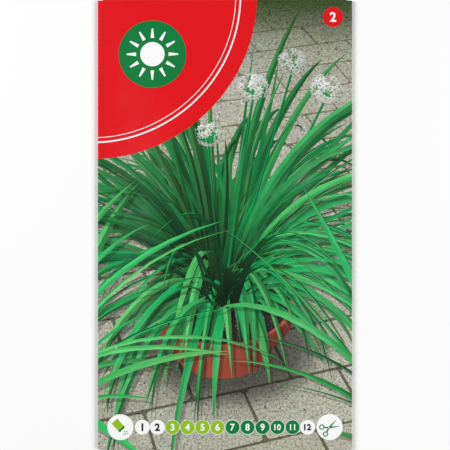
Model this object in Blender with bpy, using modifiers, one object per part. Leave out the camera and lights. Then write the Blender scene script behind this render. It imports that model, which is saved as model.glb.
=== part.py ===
"""Folded paper seed packet, lying on its back with the printed front up.

One sheet of paper is folded into a flat envelope. The right wing makes the back, the left
wing tucks inside it, and the two end flaps close the packet over the back. Inside lies a
sealed sachet of two films with one layer of seeds.

Axes: X across the packet, Y towards its top edge, Z from the back to the front.
The origin is on the surface that the packet lies on, under the middle of the packet.
"""

import math
import random

import bmesh
import bpy

MM = 0.001

# The folded packet.
PACKET_WIDTH = 90 * MM
PACKET_HEIGHT = 160 * MM
PAPER = 0.15 * MM
LAYER_GAP = 0.15 * MM
EDGE_LEVEL = 1.2 * MM

# The flaps of the blank.
SIDE_FLAP = 10 * MM
END_FLAP = 14 * MM
BACK_SHORT_OF_EDGE = 1.5 * MM
END_FLAP_INSET = 1.5 * MM

# The swelling of the front over the sachet.
SWELL_RISE = 2.75 * MM
SWELL_SHOULDER = 0.34
SWELL_CENTRE_Y = -10 * MM

# The sachet and its seeds.
SACHET_WIDTH = 58 * MM
SACHET_HEIGHT = 84 * MM
FILM = 0.15 * MM
CLEARANCE = 0.3 * MM
SEAL = 6 * MM
SACHET_RISE = 2.15 * MM
SACHET_FULLNESS = 4

SEED_LENGTH = 3.7 * MM
SEED_BREADTH = 3.1 * MM
SEED_THICKNESS = 1.3 * MM
SEED_PITCH = 2.5 * MM
SEED_PATCH_WIDTH = 28 * MM
SEED_PATCH_HEIGHT = 22 * MM
SEED_PATCH_DROP = 14 * MM
SEED_ROW_PITCH = 0.87 * SEED_PITCH
SEED_SIZE_SPREAD = 0.1
SEED_LIFT = 0.2 * SEED_THICKNESS
SEED_DRAW = 11

# How finely the sheets are divided.
FRONT_COLUMNS = 18
FRONT_ROWS = 30
FOLD_STEPS = 6
BACK_COLUMNS = 5
FLAP_STEPS = 2
FILM_COLUMNS = 12
FILM_ROWS = 16

# Levels of the middle of each paper layer, from the surface upwards.
END_FLAP_LEVEL = PAPER / 2
BACK_LEVEL = END_FLAP_LEVEL + PAPER + LAYER_GAP
SIDE_FLAP_LEVEL = BACK_LEVEL + PAPER + LAYER_GAP

# Radii of the folds, and where the front panel meets them.
END_FOLD = (EDGE_LEVEL - END_FLAP_LEVEL) / 2
RIGHT_FOLD = (EDGE_LEVEL - BACK_LEVEL) / 2
LEFT_FOLD = (EDGE_LEVEL - SIDE_FLAP_LEVEL) / 2
FRONT_RIGHT = PACKET_WIDTH / 2 - PAPER / 2 - RIGHT_FOLD
FRONT_LEFT = PACKET_WIDTH / 2 - PAPER / 2 - LEFT_FOLD
FRONT_END = PACKET_HEIGHT / 2 - PAPER / 2 - END_FOLD

# The sachet's levels.
BACK_FILM_LEVEL = BACK_LEVEL + PAPER / 2 + CLEARANCE + FILM / 2
SEED_FLOOR = BACK_FILM_LEVEL + FILM / 2 + CLEARANCE
FRONT_FILM_LEVEL = BACK_FILM_LEVEL + FILM + CLEARANCE


def clear_scene():
    """Remove every object that the file starts with."""
    for obj in list(bpy.data.objects):
        bpy.data.objects.remove(obj)


def make_material(name, colour, roughness):
    """A plain Principled material for one sub-part."""
    material = bpy.data.materials.new(name)
    material.use_nodes = True
    shader = material.node_tree.nodes["Principled BSDF"]
    shader.inputs["Base Color"].default_value = (*colour, 1.0)
    shader.inputs["Roughness"].default_value = roughness
    shader.inputs["Metallic"].default_value = 0.0
    return material


def add_object(name, bm, material, collection):
    """Turn a bmesh into a named object."""
    mesh = bpy.data.meshes.new(name)
    bm.to_mesh(mesh)
    bm.free()
    obj = bpy.data.objects.new(name, mesh)
    obj.data.materials.append(material)
    collection.objects.link(obj)
    return obj


def thicken(obj, thickness):
    """Give an open sheet its thickness, half on each side."""
    solidify = obj.modifiers.new("Thickness", "SOLIDIFY")
    solidify.thickness = thickness
    solidify.offset = 0.0
    solidify.use_even_offset = True


def spread(start, end, steps):
    """Evenly spaced stations from start to end, both included."""
    return [start + (end - start) * i / steps for i in range(steps + 1)]


def shoulder(share):
    """1 in the middle of a panel, easing to 0 at its edge."""
    t = min(max((abs(share) - SWELL_SHOULDER) / (1 - SWELL_SHOULDER), 0.0), 1.0)
    return 1 - t * t * (3 - 2 * t)


def front_level(x, y):
    """Height of the front panel, which swells over the sachet."""
    across = x / (FRONT_RIGHT if x > 0 else FRONT_LEFT)
    reach = FRONT_END - SWELL_CENTRE_Y if y > SWELL_CENTRE_Y else FRONT_END + SWELL_CENTRE_Y
    along = (y - SWELL_CENTRE_Y) / reach
    return EDGE_LEVEL + SWELL_RISE * shoulder(across) * shoulder(along)


def fold_over(distance, radius, far_level):
    """Reach past the fold line and level, for paper that runs round a fold and back."""
    turn = distance / radius
    if turn < math.pi:
        return radius * math.sin(turn), EDGE_LEVEL - radius * (1 - math.cos(turn))
    return -(distance - math.pi * radius), far_level


def fold(u, v):
    """Place of the blank's point (u, v) once the blank is folded."""
    if v > FRONT_END:
        reach, level = fold_over(v - FRONT_END, END_FOLD, END_FLAP_LEVEL)
        return u, FRONT_END + reach, level
    if v < -FRONT_END:
        reach, level = fold_over(-v - FRONT_END, END_FOLD, END_FLAP_LEVEL)
        return u, -FRONT_END - reach, level
    if u > FRONT_RIGHT:
        reach, level = fold_over(u - FRONT_RIGHT, RIGHT_FOLD, BACK_LEVEL)
        return FRONT_RIGHT + reach, v, level
    if u < -FRONT_LEFT:
        reach, level = fold_over(-u - FRONT_LEFT, LEFT_FOLD, SIDE_FLAP_LEVEL)
        return -FRONT_LEFT - reach, v, level
    return u, v, front_level(u, v)


def blank_stations():
    """Lines of the blank across and along it, from edge to edge, with no line twice."""
    left_flap = FRONT_LEFT + math.pi * LEFT_FOLD
    right_fold_end = FRONT_RIGHT + math.pi * RIGHT_FOLD
    back_end = right_fold_end + FRONT_RIGHT + PACKET_WIDTH / 2 - BACK_SHORT_OF_EDGE
    across = spread(-left_flap - SIDE_FLAP, -left_flap, FLAP_STEPS)
    across += spread(-left_flap, -FRONT_LEFT, FOLD_STEPS)[1:]
    across += [-FRONT_LEFT + END_FLAP_INSET]
    across += spread(-FRONT_LEFT + END_FLAP_INSET, FRONT_RIGHT - END_FLAP_INSET, FRONT_COLUMNS)[1:]
    across += [FRONT_RIGHT]
    across += spread(FRONT_RIGHT, right_fold_end, FOLD_STEPS)[1:]
    across += spread(right_fold_end, back_end, BACK_COLUMNS)[1:]
    end_fold_end = FRONT_END + math.pi * END_FOLD
    top = spread(FRONT_END, end_fold_end, FOLD_STEPS)[1:]
    top += spread(end_fold_end, end_fold_end + END_FLAP, FLAP_STEPS)[1:]
    along = [-v for v in reversed(top)] + spread(-FRONT_END, FRONT_END, FRONT_ROWS) + top
    return across, along


def station_grid(across, along):
    """A flat grid whose lines stand at the given stations."""
    bm = bmesh.new()
    bmesh.ops.create_grid(bm, x_segments=len(across) - 1, y_segments=len(along) - 1, size=1.0)
    columns, rows = len(across) - 1, len(along) - 1
    for vert in bm.verts:
        i = round((vert.co.x + 1) / 2 * columns)
        j = round((vert.co.y + 1) / 2 * rows)
        vert.co = (across[i], along[j], 0.0)
    return bm


def in_blank(face):
    """Whether a cell of the grid belongs to the cross-shaped blank."""
    centre = face.calc_center_median()
    beside_flap = centre.x < -FRONT_LEFT + END_FLAP_INSET or centre.x > FRONT_RIGHT - END_FLAP_INSET
    return abs(centre.y) < FRONT_END or not beside_flap


def make_envelope(collection, material):
    """The printed paper: one blank, folded along its four fold lines."""
    bm = station_grid(*blank_stations())
    outside = [face for face in bm.faces if not in_blank(face)]
    bmesh.ops.delete(bm, geom=outside, context="FACES")
    for vert in bm.verts:
        vert.co = fold(vert.co.x, vert.co.y)
    envelope = add_object("envelope", bm, material, collection)
    thicken(envelope, PAPER)
    envelope.data.shade_smooth()
    return envelope


def film_rise(x, y):
    """How far the front film stands off its sealed margin, over the seeds."""
    across = max(1 - (abs(x) / (SACHET_WIDTH / 2 - SEAL)) ** SACHET_FULLNESS, 0.0)
    along = max(1 - (abs(y) / (SACHET_HEIGHT / 2 - SEAL)) ** SACHET_FULLNESS, 0.0)
    return SACHET_RISE * math.sqrt(across * along)


def make_sachet(collection, material):
    """Two films: a flat back, and a front that swells over the seeds inside its seal."""
    across = spread(-SACHET_WIDTH / 2, SACHET_WIDTH / 2, FILM_COLUMNS)
    along = spread(-SACHET_HEIGHT / 2, SACHET_HEIGHT / 2, FILM_ROWS)
    films = (("sachet_back_film", BACK_FILM_LEVEL, 0.0), ("sachet_front_film", FRONT_FILM_LEVEL, 1.0))
    for name, level, swell in films:
        bm = station_grid(across, along)
        for vert in bm.verts:
            rise = swell * film_rise(vert.co.x, vert.co.y)
            vert.co = (vert.co.x, vert.co.y + SWELL_CENTRE_Y, level + rise)
        film = add_object(name, bm, material, collection)
        thicken(film, FILM)


def seed_places():
    """Centres of the seeds: a staggered layer, close enough that neighbours press together."""
    rows = int(SEED_PATCH_HEIGHT / SEED_ROW_PITCH)
    columns = int(SEED_PATCH_WIDTH / SEED_PITCH)
    for row in range(rows):
        for column in range(columns):
            x = (column + row % 2 / 2 - columns / 2) * SEED_PITCH
            y = (row - rows / 2) * SEED_ROW_PITCH
            if math.hypot(x / SEED_PATCH_WIDTH, y / SEED_PATCH_HEIGHT) < 0.5:
                yield x, y - SEED_PATCH_DROP


def make_seeds(collection, scratch, material):
    """One layer of flat, angular seeds that press together, joined into one body."""
    draw = random.Random(SEED_DRAW)
    for x, y in seed_places():
        bm = bmesh.new()
        bmesh.ops.create_icosphere(bm, subdivisions=1, radius=1.0)
        turn = draw.uniform(0, math.tau)
        lift = draw.uniform(0, SEED_LIFT)
        size = draw.uniform(1 - SEED_SIZE_SPREAD, 1 + SEED_SIZE_SPREAD)
        for vert in bm.verts:
            long = vert.co.x * SEED_LENGTH / 2 * size
            broad = vert.co.y * SEED_BREADTH / 2 * size
            vert.co = (
                x + long * math.cos(turn) - broad * math.sin(turn),
                y + long * math.sin(turn) + broad * math.cos(turn) + SWELL_CENTRE_Y,
                SEED_FLOOR + (vert.co.z + 1) * SEED_THICKNESS / 2 + lift,
            )
        add_object("seed", bm, material, scratch)
    pile = add_object("seeds", bmesh.new(), material, collection)
    union = pile.modifiers.new("Joined", "BOOLEAN")
    union.operation = "UNION"
    union.solver = "EXACT"
    union.operand_type = "COLLECTION"
    union.collection = scratch
    joined = bpy.data.meshes.new_from_object(
        pile.evaluated_get(bpy.context.evaluated_depsgraph_get())
    )
    pile.modifiers.remove(union)
    pile.data = joined
    for seed in list(scratch.objects):
        bpy.data.objects.remove(seed)
    return pile


def main():
    clear_scene()
    scene = bpy.context.scene.collection
    packet = bpy.data.collections.new("seed_packet")
    scratch = bpy.data.collections.new("loose_seeds")
    scene.children.link(packet)
    scene.children.link(scratch)
    paper = make_material("printed_paper", (0.10, 0.36, 0.17), 0.45)
    film = make_material("sachet_film", (0.86, 0.86, 0.84), 0.4)
    husk = make_material("seed_husk", (0.02, 0.018, 0.016), 0.6)
    make_envelope(packet, paper)
    make_sachet(packet, film)
    make_seeds(packet, scratch, husk)


main()
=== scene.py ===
"""Looks of the seed packet.

The packet's paper is one flat blank. All that is printed on it is laid on the blank as flat
shapes, in millimetres, the blank is cut up along their outlines, and each piece takes the ink
of the topmost shape that covers it. The blank is then folded to the packet, so the print runs
round the folds as on real paper, and given its thickness.
"""

import random
from math import atan2, copysign, cos, pi, radians, sin, sqrt, tau

import bpy
import numpy as np
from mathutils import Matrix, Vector
from mathutils.geometry import delaunay_2d_cdt


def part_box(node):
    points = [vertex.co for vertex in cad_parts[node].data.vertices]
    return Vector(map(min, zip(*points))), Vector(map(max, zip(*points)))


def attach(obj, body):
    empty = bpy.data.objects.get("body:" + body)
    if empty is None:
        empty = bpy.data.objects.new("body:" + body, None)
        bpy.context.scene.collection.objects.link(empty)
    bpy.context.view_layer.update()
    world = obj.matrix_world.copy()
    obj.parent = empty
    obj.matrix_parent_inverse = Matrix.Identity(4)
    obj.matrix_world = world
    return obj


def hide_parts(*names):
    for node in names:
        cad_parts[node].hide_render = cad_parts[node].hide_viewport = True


bl_info = {
    "name": "Seed packet",
    "version": (1, 0, 0),
    "blender": (4, 5, 0),
    "location": "View3D > Sidebar > Seed packet",
    "description": "Builds a printed paper seed packet with its sachet and seeds",
    "category": "Add Mesh",
}

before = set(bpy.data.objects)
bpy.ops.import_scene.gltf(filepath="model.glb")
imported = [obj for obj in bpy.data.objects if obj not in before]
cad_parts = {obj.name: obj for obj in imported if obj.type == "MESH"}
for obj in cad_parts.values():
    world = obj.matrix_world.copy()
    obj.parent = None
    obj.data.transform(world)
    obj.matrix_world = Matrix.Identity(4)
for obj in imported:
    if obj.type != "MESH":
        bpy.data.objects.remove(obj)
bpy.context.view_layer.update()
ENVELOPE_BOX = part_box("envelope")
SACHET_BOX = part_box("sachet_front_film")
SEEDS_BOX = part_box("seeds")

MM = 0.001

# The folded packet, as the frame holds it.
PACKET_WIDTH = ENVELOPE_BOX[1][0] - ENVELOPE_BOX[0][0]
PACKET_HEIGHT = ENVELOPE_BOX[1][1] - ENVELOPE_BOX[0][1]
PAPER = 0.15 * MM
LAYER_GAP = 0.15 * MM
EDGE_LEVEL = 1.2 * MM
SIDE_FLAP = 10 * MM
END_FLAP = 14 * MM
BACK_SHORT_OF_EDGE = 1.5 * MM
END_FLAP_INSET = 1.5 * MM
SWELL_RISE = ENVELOPE_BOX[1][2] - EDGE_LEVEL - PAPER / 2
SWELL_SHOULDER = 0.34
SWELL_CENTRE_Y = (SACHET_BOX[0][1] + SACHET_BOX[1][1]) / 2

# Levels of the middle of each paper layer, and the folds between them.
END_FLAP_LEVEL = PAPER / 2
BACK_LEVEL = END_FLAP_LEVEL + PAPER + LAYER_GAP
SIDE_FLAP_LEVEL = BACK_LEVEL + PAPER + LAYER_GAP
END_FOLD = (EDGE_LEVEL - END_FLAP_LEVEL) / 2
RIGHT_FOLD = (EDGE_LEVEL - BACK_LEVEL) / 2
LEFT_FOLD = (EDGE_LEVEL - SIDE_FLAP_LEVEL) / 2
FRONT_RIGHT = PACKET_WIDTH / 2 - PAPER / 2 - RIGHT_FOLD
FRONT_LEFT = PACKET_WIDTH / 2 - PAPER / 2 - LEFT_FOLD
FRONT_END = PACKET_HEIGHT / 2 - PAPER / 2 - END_FOLD

# The edges of the flat blank, in millimetres.
BLANK_LEFT = -(FRONT_LEFT + pi * LEFT_FOLD + SIDE_FLAP) / MM
BACK_START = (FRONT_RIGHT + pi * RIGHT_FOLD) / MM
BLANK_RIGHT = BACK_START + (FRONT_RIGHT + PACKET_WIDTH / 2 - BACK_SHORT_OF_EDGE) / MM
BLANK_END = (FRONT_END + pi * END_FOLD + END_FLAP) / MM
PANEL_LEFT = -FRONT_LEFT / MM
PANEL_RIGHT = FRONT_RIGHT / MM
PANEL_END = FRONT_END / MM
BLEED = 2.0


def linear(red, green, blue):
    """Linear colour for an sRGB one given in 0 to 255."""
    channels = []
    for channel in (red, green, blue):
        share = channel / 255
        channels.append(share / 12.92 if share <= 0.04045 else ((share + 0.055) / 1.055) ** 2.4)
    return tuple(channels)


def colour_property(name, description, default):
    """An add-on colour whose default is a linear colour."""
    return bpy.props.FloatVectorProperty(
        name=name, description=description, subtype="COLOR", size=3, min=0, max=1, default=default
    )


class PacketInks(bpy.types.PropertyGroup):
    """Colours of the print."""

    corner_red: colour_property("Corner", "Panel in the top left corner", linear(227, 6, 19))
    dot_lime: colour_property("Lime months", "Discs of the months for sowing", linear(149, 193, 31))
    dot_green: colour_property("Green months", "Discs of the months for picking", linear(0, 124, 58))
    white: colour_property("White", "Discs and lines left white", linear(252, 252, 252))
    dark_text: colour_property("Dark ink", "Numbers and pictograms on white", linear(8, 26, 16))
    top_shade: colour_property("Top shade", "Band that the picture darkens to", linear(52, 74, 24))
    stone: colour_property("Paving", "Mean colour of the paving", linear(188, 188, 172))
    joint: colour_property("Joints", "Gaps in the paving", linear(104, 102, 84))
    terracotta: colour_property("Terracotta", "The pot", linear(176, 80, 60))
    soil: colour_property("Soil", "Soil in the pot", linear(40, 34, 30))
    leaf: colour_property("Leaf", "Upper side of a leaf", linear(0, 168, 88))
    young_leaf: colour_property("Young leaf", "Paler leaves", linear(84, 190, 100))
    back: colour_property("Back", "Tint of the packet's back", linear(214, 228, 204))


class PacketPaper(bpy.types.PropertyGroup):
    """The paper's own look."""

    paper_white: colour_property("Paper", "Unprinted paper", linear(246, 245, 240))
    gloss: bpy.props.FloatProperty(
        name="Coating", description="Strength of the coating's gloss", default=0.42, min=0, max=1,
        subtype="FACTOR",
    )


class PacketPicture(bpy.types.PropertyGroup):
    """The plant in the picture, at the picture's own scale."""

    leaves: bpy.props.IntProperty(name="Leaves", description="Leaves of the clump", default=350, min=1)
    leaf_length: bpy.props.FloatProperty(
        name="Leaf length", description="Longest leaf on the print", default=0.108, unit="LENGTH"
    )
    leaf_width: bpy.props.FloatProperty(
        name="Leaf width", description="Widest leaf on the print", default=0.0034, unit="LENGTH"
    )
    pot_radius: bpy.props.FloatProperty(
        name="Pot radius", description="Radius of the pot's rim on the print", default=0.0265,
        unit="LENGTH",
    )
    pot_depth: bpy.props.FloatProperty(
        name="Pot depth", description="Depth of the pot on the print", default=0.024, unit="LENGTH"
    )


class PacketStage(bpy.types.PropertyGroup):
    """Where the packet is photographed."""

    lens: bpy.props.FloatProperty(name="Lens", description="Focal length in mm", default=100)
    key_power: bpy.props.FloatProperty(
        name="Side lights", description="Power of each soft side light", default=5.76, unit="POWER"
    )


# Folding the blank.


def shoulder(share):
    """1 in the middle of a panel, easing to 0 at its edge."""
    t = min(max((abs(share) - SWELL_SHOULDER) / (1 - SWELL_SHOULDER), 0.0), 1.0)
    return 1 - t * t * (3 - 2 * t)


def front_level(x, y):
    """Height of the front panel, which swells over the sachet."""
    across = x / (FRONT_RIGHT if x > 0 else FRONT_LEFT)
    reach = FRONT_END - SWELL_CENTRE_Y if y > SWELL_CENTRE_Y else FRONT_END + SWELL_CENTRE_Y
    along = (y - SWELL_CENTRE_Y) / reach
    return EDGE_LEVEL + SWELL_RISE * shoulder(across) * shoulder(along)


def fold_over(distance, radius, far_level):
    """Reach past the fold line and level, for paper that runs round a fold and back."""
    turn = distance / radius
    if turn < pi:
        return radius * sin(turn), EDGE_LEVEL - radius * (1 - cos(turn))
    return -(distance - pi * radius), far_level


def fold(u, v):
    """Place of the blank's point (u, v) once the blank is folded, in metres."""
    if u > FRONT_RIGHT:
        reach, level = fold_over(u - FRONT_RIGHT, RIGHT_FOLD, BACK_LEVEL)
        return Vector((FRONT_RIGHT + reach, v, level))
    if u < -FRONT_LEFT:
        reach, level = fold_over(-u - FRONT_LEFT, LEFT_FOLD, SIDE_FLAP_LEVEL)
        return Vector((-FRONT_LEFT - reach, v, level))
    if abs(v) > FRONT_END:
        reach, level = fold_over(abs(v) - FRONT_END, END_FOLD, END_FLAP_LEVEL)
        return Vector((u, copysign(FRONT_END + reach, v), level))
    return Vector((u, v, front_level(u, v)))


def paper_normal(u, v):
    """Direction of the paper's printed side at the blank's point (u, v)."""
    step = 0.02 * MM
    across = fold(u + step, v) - fold(u - step, v)
    along = fold(u, v + step) - fold(u, v - step)
    return across.cross(along).normalized()


# Inks: what a flat shape is printed with.

PLAIN = (0.0, 0.0, 0.0)
STONE = (1.0, 0.0, 0.0)
LEAF = (0.0, 1.0, 0.0)
CLAY = (0.0, 0.0, 1.0)
SOIL = (1.0, 0.0, 1.0)


def ease(low, high, value):
    """0 below low, 1 above high, with a smooth step between, for arrays too."""
    t = np.clip((value - low) / (high - low), 0, 1)
    return t * t * (3 - 2 * t)


class Ink:
    """A colour, the grain printed in it, and how it is shaded over the shape."""

    in_picture = False

    def __init__(self, colour, grain=PLAIN, shade=None, tone=1.0):
        self.colour = np.array(colour) * tone
        self.grain = grain
        self.shade = shade

    def colours(self, x, y):
        """The ink's colour at each point."""
        colours = np.tile(self.colour, (len(x), 1))
        if self.shade is not None:
            colours = colours * self.shade(x, y)[:, None]
        return colours

    def places(self, x, y):
        """Where the grain is read at each point."""
        return np.stack([x, y, np.zeros(len(x))], axis=1)


class PictureInk(Ink):
    """An ink of the picture, which darkens towards the packet's top."""

    in_picture = True


class LeafInk(PictureInk):
    """One half of a leaf: it is lit along its length, and its grain runs along it."""

    def __init__(self, tones, line, side, number):
        super().__init__((0, 0, 0), LEAF)
        self.tones = tones
        self.line = line
        self.side = side
        self.number = number

    def along_and_across(self, x, y):
        """Share of the leaf's length, and distance from its midrib, of the nearest midrib point."""
        start, end = self.line[:-1], self.line[1:]
        run = end - start
        point = np.stack([x, y], axis=1)[:, None, :]
        share = ((point - start) * run).sum(2) / np.maximum((run * run).sum(1), 1e-9)
        share = np.clip(share, 0, 1)
        away = np.linalg.norm(point - (start + share[..., None] * run), axis=2)
        nearest = away.argmin(axis=1)
        rows = np.arange(len(x))
        return (nearest + share[rows, nearest]) / len(run), away[rows, nearest]

    def colours(self, x, y):
        along, _ = self.along_and_across(x, y)
        stations = np.linspace(0, 1, len(self.tones))
        return np.stack([np.interp(along, stations, self.tones[:, c]) for c in range(3)], axis=1)

    def places(self, x, y):
        along, across = self.along_and_across(x, y)
        length = np.linalg.norm(np.diff(self.line, axis=0), axis=1).sum()
        return np.stack([across * self.side, along * length, np.full(len(x), self.number)], axis=1)


# Flat shapes.


def arc(centre, radius, start, end, steps):
    """Points on an arc, from one angle to another in degrees."""
    angles = np.radians(np.linspace(start, end, steps))
    return [(centre[0] + radius * cos(a), centre[1] + radius * sin(a)) for a in angles]


def disc(centre, radius, steps=28):
    """A round outline."""
    return arc(centre, radius, 0, 360, steps + 1)[:-1]


def bar(start, end, width, end_width=None):
    """A straight bar between two points, which may taper."""
    run = np.subtract(end, start)
    side = np.array([-run[1], run[0]]) / np.linalg.norm(run) / 2
    far = width if end_width is None else end_width
    outline = [np.subtract(start, side * width), np.subtract(end, side * far)]
    outline += [np.add(end, side * far), np.add(start, side * width)]
    return [tuple(point) for point in outline]


def rounded_box(low, high, radius, steps=5):
    """A box with round corners."""
    left, right = low[0] + radius, high[0] - radius
    bottom, top = low[1] + radius, high[1] - radius
    outline = []
    corners = ((right, top), (left, top), (left, bottom), (right, bottom))
    for quarter, corner in enumerate(corners):
        outline += arc(corner, radius, quarter * 90, quarter * 90 + 90, steps)
    return outline


def turned(outline, centre, degrees):
    """The outline turned about a point."""
    angle = radians(degrees)
    cosine, sine = cos(angle), sin(angle)
    return [
        (
            centre[0] + (x - centre[0]) * cosine - (y - centre[1]) * sine,
            centre[1] + (x - centre[0]) * sine + (y - centre[1]) * cosine,
        )
        for x, y in outline
    ]


def covered_by(outline, points):
    """Numbers of the points that lie inside an outline, for points sorted by their y."""
    outline = np.array(outline)
    nexts = np.roll(outline, -1, axis=0)
    first, last = np.searchsorted(points[:, 1], (outline[:, 1].min(), outline[:, 1].max()))
    x, y = points[first:last].T
    inside = np.zeros(last - first, dtype=bool)
    lows = np.searchsorted(y, np.minimum(outline[:, 1], nexts[:, 1]))
    highs = np.searchsorted(y, np.maximum(outline[:, 1], nexts[:, 1]))
    for (x0, y0), (x1, y1), low, high in zip(outline, nexts, lows, highs):
        if low < high:
            inside[low:high] ^= x[low:high] < x0 + (y[low:high] - y0) * (x1 - x0) / (y1 - y0)
    return first + np.flatnonzero(inside)


# How the print is cut up and painted. Distances are in millimetres.

POINTS_MERGE = 1e-4
STRAIGHT_BEND = 0.01
PAINT_COLUMN = 6.0
DEEPEST_SHADOW = 0.35
SHADOWS_PER_SHAPE = 100
FOLD_LINES = 9
SWELL_PITCH = 3.0
NUMBER_SIZE = 1.36
NUMBER_CURVE_STEPS = 3


def cut_along(points, edges):
    """Triangles between flat points that keep to the given edges and to their crossings."""
    verts, _, faces, *_ = delaunay_2d_cdt(points, edges, [], 0, POINTS_MERGE, False)
    return np.array([tuple(vert) for vert in verts]), np.array(faces)


def showing_edges(faces, looks):
    """Edges between triangles that look different."""
    edges = np.sort(np.concatenate([faces[:, (0, 1)], faces[:, (1, 2)], faces[:, (2, 0)]]), axis=1)
    owner_looks = np.tile(looks, 3)
    order = np.lexsort((edges[:, 1], edges[:, 0]))
    edges, owner_looks = edges[order], owner_looks[order]
    paired = np.flatnonzero((edges[1:] == edges[:-1]).all(axis=1))
    return edges[paired[owner_looks[paired] != owner_looks[paired + 1]]].tolist()


def straightened(edges, verts, corners):
    """The edges without the points that only part a straight edge in two."""
    near = {}
    for first, second in edges:
        near.setdefault(first, set()).add(second)
        near.setdefault(second, set()).add(first)
    corners = {tuple(point) for point in np.round(corners, 3).tolist()}
    rounded = np.round(verts, 3).tolist()
    for vert in list(near):
        if len(near[vert]) == 2 and tuple(rounded[vert]) not in corners:
            first, second = near[vert]
            run, rest = verts[vert] - verts[first], verts[second] - verts[vert]
            bend = abs(run[0] * rest[1] - run[1] * rest[0])
            most = STRAIGHT_BEND * np.linalg.norm(run) * np.linalg.norm(rest)
            if bend < most and second not in near[first]:
                del near[vert]
                near[first].remove(vert)
                near[second].remove(vert)
                near[first].add(second)
                near[second].add(first)
    return [(first, second) for first in near for second in near[first] if first < second]


class Print:
    """The flat shapes laid on the blank, each over the ones before it."""

    def __init__(self):
        self.points = []
        self.shapes = []
        self.inks = []
        self.veils = {}
        self.loose_points = []
        self.lines = []

    def lay_in_picture(self, outline, ink):
        """Lay a shape of the picture, unless it is wholly off the front."""
        x, y = np.array(outline).T
        across = x.max() > PANEL_LEFT - BLEED and x.min() < PANEL_RIGHT + BLEED
        if across and abs(y).min() < PANEL_END + BLEED:
            self.lay(outline, ink)

    def lay(self, outline, ink):
        """Lay a shape over what is there."""
        start = len(self.points)
        self.points.extend((float(x), float(y)) for x, y in outline)
        self.shapes.append(list(range(start, len(self.points))))
        self.inks.append(ink)

    def veil(self, outline, strength):
        """Lay a see-through shadow over what is there."""
        self.veils[len(self.shapes)] = 1 - strength
        self.lay(outline, None)

    def crease(self, start, end):
        """A line that the paper's mesh has to follow."""
        first = len(self.points)
        self.points.extend([start, end])
        self.lines.append((first, first + 1))

    def number(self, text, centre, height, ink, weight=0.036):
        """A plain number, centred on a point, its strokes thickened by a share of its height."""
        curve = bpy.data.curves.new("number", "FONT")
        curve.body = text
        curve.size = height * NUMBER_SIZE
        curve.align_x = "CENTER"
        curve.align_y = "CENTER"
        curve.resolution_u = NUMBER_CURVE_STEPS
        curve.offset = height * weight
        letters = bpy.data.objects.new("number", curve)
        bpy.context.scene.collection.objects.link(letters)
        graph = bpy.context.evaluated_depsgraph_get()
        flat = bpy.data.meshes.new_from_object(letters.evaluated_get(graph))
        points = np.array([v.co[:2] for v in flat.vertices])
        middle = (points.min(axis=0) + points.max(axis=0)) / 2
        for face in flat.polygons:
            self.lay([points[i] - middle + centre for i in face.vertices], ink)
        bpy.data.objects.remove(letters)
        bpy.data.curves.remove(curve)
        bpy.data.meshes.remove(flat)

    def paint(self, verts, faces):
        """Number of the top shape over each piece, and how deep in shadow the piece lies."""
        middles = verts[faces].mean(axis=1)
        columns = (middles[:, 0] // PAINT_COLUMN).astype(int)
        columns -= columns.min()
        order = np.lexsort((middles[:, 1], columns))
        starts = np.searchsorted(columns[order], np.arange(columns.max() + 2))
        strips = [
            (start, middles[order[start:end]]) for start, end in zip(starts, starts[1:]) if end > start
        ]
        tops = np.full(len(faces), -1)
        shadows = np.ones(len(faces))
        for number, shape in enumerate(self.shapes):
            outline = np.array([self.points[i] for i in shape])
            left, right = outline[:, 0].min(), outline[:, 0].max()
            for start, strip in strips:
                strip_left = strip[0, 0] // PAINT_COLUMN * PAINT_COLUMN
                if left >= strip_left + PAINT_COLUMN or right <= strip_left:
                    continue
                covered = start + covered_by(outline, strip)
                if number in self.veils:
                    darker = shadows[covered] * self.veils[number]
                    shadows[covered] = np.maximum(darker, DEEPEST_SHADOW)
                else:
                    tops[covered] = number
                    shadows[covered] = 1
        back = order.argsort()
        return tops[back], shadows[back]

    def cut(self):
        """Cut the blank along the outlines that show, and find each piece's top shape and shadow."""
        edges = list(self.lines)
        for shape in self.shapes:
            edges += zip(shape, shape[1:] + shape[:1])
        verts, faces = cut_along([Vector(p) for p in self.points], edges)
        tops, shadows = self.paint(verts, faces)
        looks = tops * SHADOWS_PER_SHAPE + shadows
        seen = straightened(showing_edges(faces, looks), verts, self.points)
        creases = [(len(verts) + i, len(verts) + i + 1) for i in range(0, 2 * len(self.lines), 2)]
        ends = [self.points[i] for line in self.lines for i in line]
        points = [Vector(p) for p in [*verts.tolist(), *ends, *self.loose_points]]
        used, edges = np.unique(np.array(seen + creases), return_inverse=True)
        loose = range(len(verts) + len(ends), len(points))
        kept = [points[i] for i in [*used.tolist(), *loose]]
        verts, faces = cut_along(kept, [tuple(edge) for edge in edges.reshape(-1, 2).tolist()])
        tops, shadows = self.paint(verts, faces)
        middles = verts[faces].mean(axis=1)
        order = middles[:, 1].argsort()
        on_blank = order[covered_by([self.points[i] for i in self.shapes[0]], middles[order])]
        used, corners = np.unique(faces[on_blank], return_inverse=True)
        return verts[used], corners.reshape(-1, 3), tops[on_blank], shadows[on_blank]


# The picture: a clump of strap leaves in a pot on paving, seen from above its front.

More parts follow.
